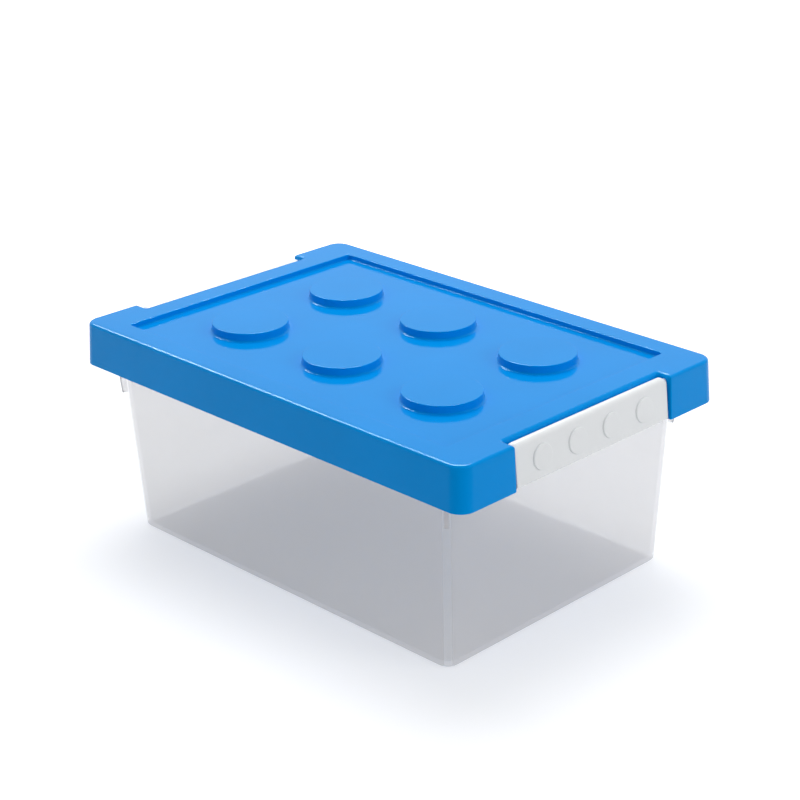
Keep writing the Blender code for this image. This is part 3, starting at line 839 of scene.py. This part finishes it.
class Nodes:
    """A material's node tree, with short ways to add to it."""

    def __init__(self, name):
        self.material = bpy.data.materials.new(name)
        self.material.use_nodes = True
        self.tree = self.material.node_tree
        self.shader = self.tree.nodes["Principled BSDF"]
        self.place = self.tree.nodes.new("ShaderNodeTexCoord").outputs["Object"]

    def link(self, source, target):
        """Join an output to an input."""
        self.tree.links.new(source, target)

    def noise(self, scale, detail):
        """A cloud pattern on the object's own coordinates, in cycles a metre."""
        node = self.tree.nodes.new("ShaderNodeTexNoise")
        node.inputs["Scale"].default_value = scale
        node.inputs["Detail"].default_value = detail
        self.link(self.place, node.inputs["Vector"])
        return node.outputs["Fac"]

    def spread(self, source, low, high):
        """A pattern's middle range stretched between two values."""
        node = self.tree.nodes.new("ShaderNodeMapRange")
        node.inputs["From Min"].default_value = CLOUD_LOW
        node.inputs["From Max"].default_value = CLOUD_HIGH
        node.inputs["To Min"].default_value = low
        node.inputs["To Max"].default_value = high
        self.link(source, node.inputs["Value"])
        return node.outputs["Result"]

    def blend(self, share, low, high):
        """A colour between two, by a pattern."""
        node = self.tree.nodes.new("ShaderNodeMix")
        node.data_type = "RGBA"
        node.inputs[MIX_FIRST].default_value = (*low, 1.0)
        node.inputs[MIX_SECOND].default_value = (*high, 1.0)
        self.link(share, node.inputs["Factor"])
        return node.outputs[MIX_RESULT]

    def bump(self, height, distance, below=None):
        """A fine relief of a given depth."""
        node = self.tree.nodes.new("ShaderNodeBump")
        node.inputs["Strength"].default_value = 1.0
        node.inputs["Distance"].default_value = distance
        self.link(height, node.inputs["Height"])
        if below:
            self.link(below, node.inputs["Normal"])
        return node.outputs["Normal"]

    def clouds(self, colour, scale, darker, paler):
        """The plastic's colour, a little darker and paler in clouds."""
        share = self.spread(self.noise(scale, detail=3.0), low=0.0, high=1.0)
        self.link(self.blend(share, toned(colour, darker), toned(colour, paler)),
                  self.shader.inputs["Base Color"])

    def sheen(self, scale, detail, low, high):
        """The plastic's roughness, changing between two values."""
        self.link(self.spread(self.noise(scale, detail), low, high),
                  self.shader.inputs["Roughness"])

    def grain(self, scale, detail, distance, below=None):
        """The plastic's fine grain."""
        self.link(self.bump(self.noise(scale, detail), distance, below),
                  self.shader.inputs["Normal"])


def toned(colour, share):
    """A colour made darker or paler by a share."""
    return tuple(min(1.0, channel * share) for channel in colour)


def glossy_blue(colours):
    """Glossy moulded plastic, faintly uneven as the mould left it."""
    nodes = Nodes("glossy_blue_plastic")
    nodes.clouds(colours.blue, scale=18.0, darker=0.97, paler=1.03)
    nodes.sheen(scale=55.0, detail=4.0, low=0.085, high=0.125)
    waves = nodes.bump(nodes.noise(scale=120.0, detail=1.0), distance=0.00001)
    nodes.grain(scale=2600.0, detail=2.0, distance=0.0000012, below=waves)
    nodes.shader.inputs["IOR"].default_value = 1.22
    nodes.shader.inputs["Specular Tint"].default_value = (0.0, 0.6, 1.0, 1.0)
    return nodes.material


def satin_white(colours):
    """White plastic with a soft sheen and a very fine grain."""
    nodes = Nodes("satin_white_plastic")
    nodes.clouds(colours.white, scale=40.0, darker=0.985, paler=1.01)
    nodes.sheen(scale=160.0, detail=4.0, low=0.30, high=0.38)
    nodes.grain(scale=2200.0, detail=2.0, distance=0.000003)
    nodes.shader.inputs["IOR"].default_value = 1.5
    return nodes.material


def frosted(name, colours, milk):
    """Thin frosted plastic: a pale veil that what lies behind shows through."""
    nodes = Nodes(name)
    nodes.clouds(colours.frost, scale=25.0, darker=0.98, paler=1.02)
    nodes.sheen(scale=240.0, detail=5.0, low=0.32, high=0.42)
    nodes.grain(scale=1500.0, detail=3.0, distance=0.0000012)
    nodes.shader.inputs["IOR"].default_value = 1.2
    nodes.shader.inputs["Alpha"].default_value = milk
    return nodes.material


def seen_share(tree):
    """1 for a ray from the camera or by way of gloss or glass, and 0 for any other."""
    path = tree.nodes.new("ShaderNodeLightPath")
    total = path.outputs["Is Camera Ray"]
    for name in ("Is Glossy Ray", "Is Transmission Ray"):
        more = tree.nodes.new("ShaderNodeMath")
        more.operation = "MAXIMUM"
        tree.links.new(total, more.inputs[0])
        tree.links.new(path.outputs[name], more.inputs[1])
        total = more.outputs[0]
    return total


def floor_material(settings):
    """A matt white floor that reads as white to the eye and still takes a shadow."""
    material = bpy.data.materials.new("studio_floor")
    material.use_nodes = True
    tree = material.node_tree
    tree.nodes.clear()
    matt = tree.nodes.new("ShaderNodeBsdfDiffuse")
    matt.inputs["Color"].default_value = (*[settings.floor] * 3, 1.0)
    glow = tree.nodes.new("ShaderNodeEmission")
    # The lift's faint blue paints a cool tint into the floor's shadows, since the lit floor clips
    # to white
    glow.inputs["Color"].default_value = FLOOR_SHADOW_BLUE
    place = tree.nodes.new("ShaderNodeTexCoord")
    far = tree.nodes.new("ShaderNodeVectorMath")
    far.operation = "LENGTH"
    tree.links.new(place.outputs["Object"], far.inputs[0])
    lift = tree.nodes.new("ShaderNodeMapRange")
    lift.interpolation_type = "SMOOTHSTEP"
    lift.inputs["From Min"].default_value = settings.floor_near
    lift.inputs["From Max"].default_value = settings.floor_far
    lift.inputs["To Min"].default_value = settings.floor_glow
    lift.inputs["To Max"].default_value = 1.0
    tree.links.new(far.outputs["Value"], lift.inputs["Value"])
    strength = tree.nodes.new("ShaderNodeMath")
    strength.operation = "MULTIPLY"
    tree.links.new(seen_share(tree), strength.inputs[0])
    tree.links.new(lift.outputs["Result"], strength.inputs[1])
    tree.links.new(strength.outputs[0], glow.inputs["Strength"])
    total = tree.nodes.new("ShaderNodeAddShader")
    out = tree.nodes.new("ShaderNodeOutputMaterial")
    tree.links.new(matt.outputs[0], total.inputs[0])
    tree.links.new(glow.outputs[0], total.inputs[1])
    tree.links.new(total.outputs[0], out.inputs["Surface"])
    return material


def studio_world(settings):
    """White where it is seen, and an even soft light elsewhere."""
    world = bpy.data.worlds.new("studio_world")
    bpy.context.scene.world = world
    world.use_nodes = True
    tree = world.node_tree
    tree.nodes.clear()
    seen = seen_share(tree)
    strength = tree.nodes.new("ShaderNodeMapRange")
    strength.inputs["To Min"].default_value = settings.ambient
    strength.inputs["To Max"].default_value = 1.0
    sky = tree.nodes.new("ShaderNodeBackground")
    sky.inputs["Color"].default_value = (1.0, 1.0, 1.0, 1.0)
    out = tree.nodes.new("ShaderNodeOutputWorld")
    tree.links.new(seen, strength.inputs["Value"])
    tree.links.new(strength.outputs["Result"], sky.inputs["Strength"])
    tree.links.new(sky.outputs["Background"], out.inputs["Surface"])


def area_lamp(name, power):
    """A soft square lamp at its place, facing its target."""
    place, target, size = LAMPS[name]
    bpy.ops.object.light_add(type="AREA", location=place)
    lamp = bpy.context.object
    lamp.name = name
    lamp.rotation_euler = (Vector(target) - Vector(place)).to_track_quat("-Z", "Y").to_euler()
    lamp.data.size = size
    lamp.data.energy = power
    lamp.visible_diffuse = name not in GLOSS_LAMPS


class BLOCKBOX_OT_tub(bpy.types.Operator):
    """Model the frosted tub with its rim and corner ribs"""

    bl_idname = "blockbox.tub"
    bl_label = "Tub"

    def execute(self, context):
        sizes = context.scene.blockbox_tub
        colours = context.scene.blockbox_colours
        tub = tub_shell(sizes)
        combine(tub, tub_ribs(sizes), "UNION")
        wear(tub, frosted("frosted_plastic", colours, colours.outside), lambda face: True)
        wear(tub, frosted("clear_plastic", colours, colours.inside),
             lambda face: in_tub(face, sizes))
        wear(tub, frosted("milky_plastic", colours, colours.rib_ends),
             lambda face: on_rib_end(face, sizes))
        finish_piece(tub, "tub", "tub")
        return {"FINISHED"}


class BLOCKBOX_OT_lid(bpy.types.Operator):
    """Model the glossy lid with its sunk panel and six studs"""

    bl_idname = "blockbox.lid"
    bl_label = "Lid"

    def execute(self, context):
        lid = lid_shell(context.scene.blockbox_lid, context.scene.blockbox_latch)
        wear(lid, glossy_blue(context.scene.blockbox_colours), lambda face: True)
        finish_piece(lid, "lid", "lid")
        return {"FINISHED"}


class BLOCKBOX_OT_latches(bpy.types.Operator):
    """Model the right latch, and its twin turned about to the left end"""

    bl_idname = "blockbox.latches"
    bl_label = "Latches"

    def execute(self, context):
        right = latch_shell(context.scene.blockbox_latch)
        wear(right, satin_white(context.scene.blockbox_colours), lambda face: True)
        left = copy_of(right)
        left.name = left.data.name = "latch_left_shell"
        edit(left)
        bpy.ops.mesh.select_all(action="SELECT")
        bpy.ops.transform.rotate(value=math.pi, orient_axis="Z", center_override=MIDDLE)
        close()
        finish_piece(right, "latch_right", "latch_right")
        finish_piece(left, "latch_left", "latch_left")
        return {"FINISHED"}


class BLOCKBOX_OT_studio(bpy.types.Operator):
    """Set up the pale floor, the soft light and the camera"""

    bl_idname = "blockbox.studio"
    bl_label = "Studio"

    def execute(self, context):
        settings = context.scene.blockbox_studio
        floor = plate("studio_floor", FLOOR_HALF, -FLOOR_DROP)
        close()
        floor.data.materials.append(floor_material(settings))
        studio_world(settings)
        for name in LAMPS:
            area_lamp(name, getattr(settings, name))
        bpy.ops.object.camera_add(location=CAMERA_PLACE, rotation=CAMERA_TURN)
        camera = bpy.context.object
        camera.name = "studio_camera"
        camera.data.lens = CAMERA_LENS
        camera.data.sensor_width = CAMERA_SENSOR
        camera.data.shift_x, camera.data.shift_y = CAMERA_SHIFT
        context.scene.camera = camera
        context.scene.view_settings.view_transform = "Standard"
        return {"FINISHED"}


OPERATORS = (BLOCKBOX_OT_tub, BLOCKBOX_OT_lid, BLOCKBOX_OT_latches, BLOCKBOX_OT_studio)
SETTINGS = {
    "blockbox_tub": TubSizes,
    "blockbox_lid": LidSizes,
    "blockbox_latch": LatchSizes,
    "blockbox_colours": PlasticColours,
    "blockbox_studio": StudioSettings,
}


class BLOCKBOX_PT_panel(bpy.types.Panel):
    """Lists the box's pieces, sizes and colours"""

    bl_label = "Block Box"
    bl_space_type = "VIEW_3D"
    bl_region_type = "UI"
    bl_category = "Block Box"

    def draw(self, context):
        for operator in OPERATORS:
            self.layout.operator(operator.bl_idname)
        for name, kind in SETTINGS.items():
            group = self.layout.box()
            for prop in kind.bl_rna.properties:
                if prop.identifier not in ("rna_type", "name"):
                    group.prop(getattr(context.scene, name), prop.identifier)


CLASSES = (*SETTINGS.values(), *OPERATORS, BLOCKBOX_PT_panel)


def register():
    """Make the settings, operators and panel known."""
    for kind in CLASSES:
        bpy.utils.register_class(kind)
    for name, kind in SETTINGS.items():
        setattr(bpy.types.Scene, name, PointerProperty(type=kind))


def unregister():
    """Take the settings, operators and panel away again."""
    for name in SETTINGS:
        delattr(bpy.types.Scene, name)
    for kind in reversed(CLASSES):
        bpy.utils.unregister_class(kind)


def main():
    """Model every piece and the studio."""
    register()
    bpy.ops.blockbox.tub()
    bpy.ops.blockbox.lid()
    bpy.ops.blockbox.latches()
    bpy.ops.blockbox.studio()


if __name__ == "__main__":
    main()
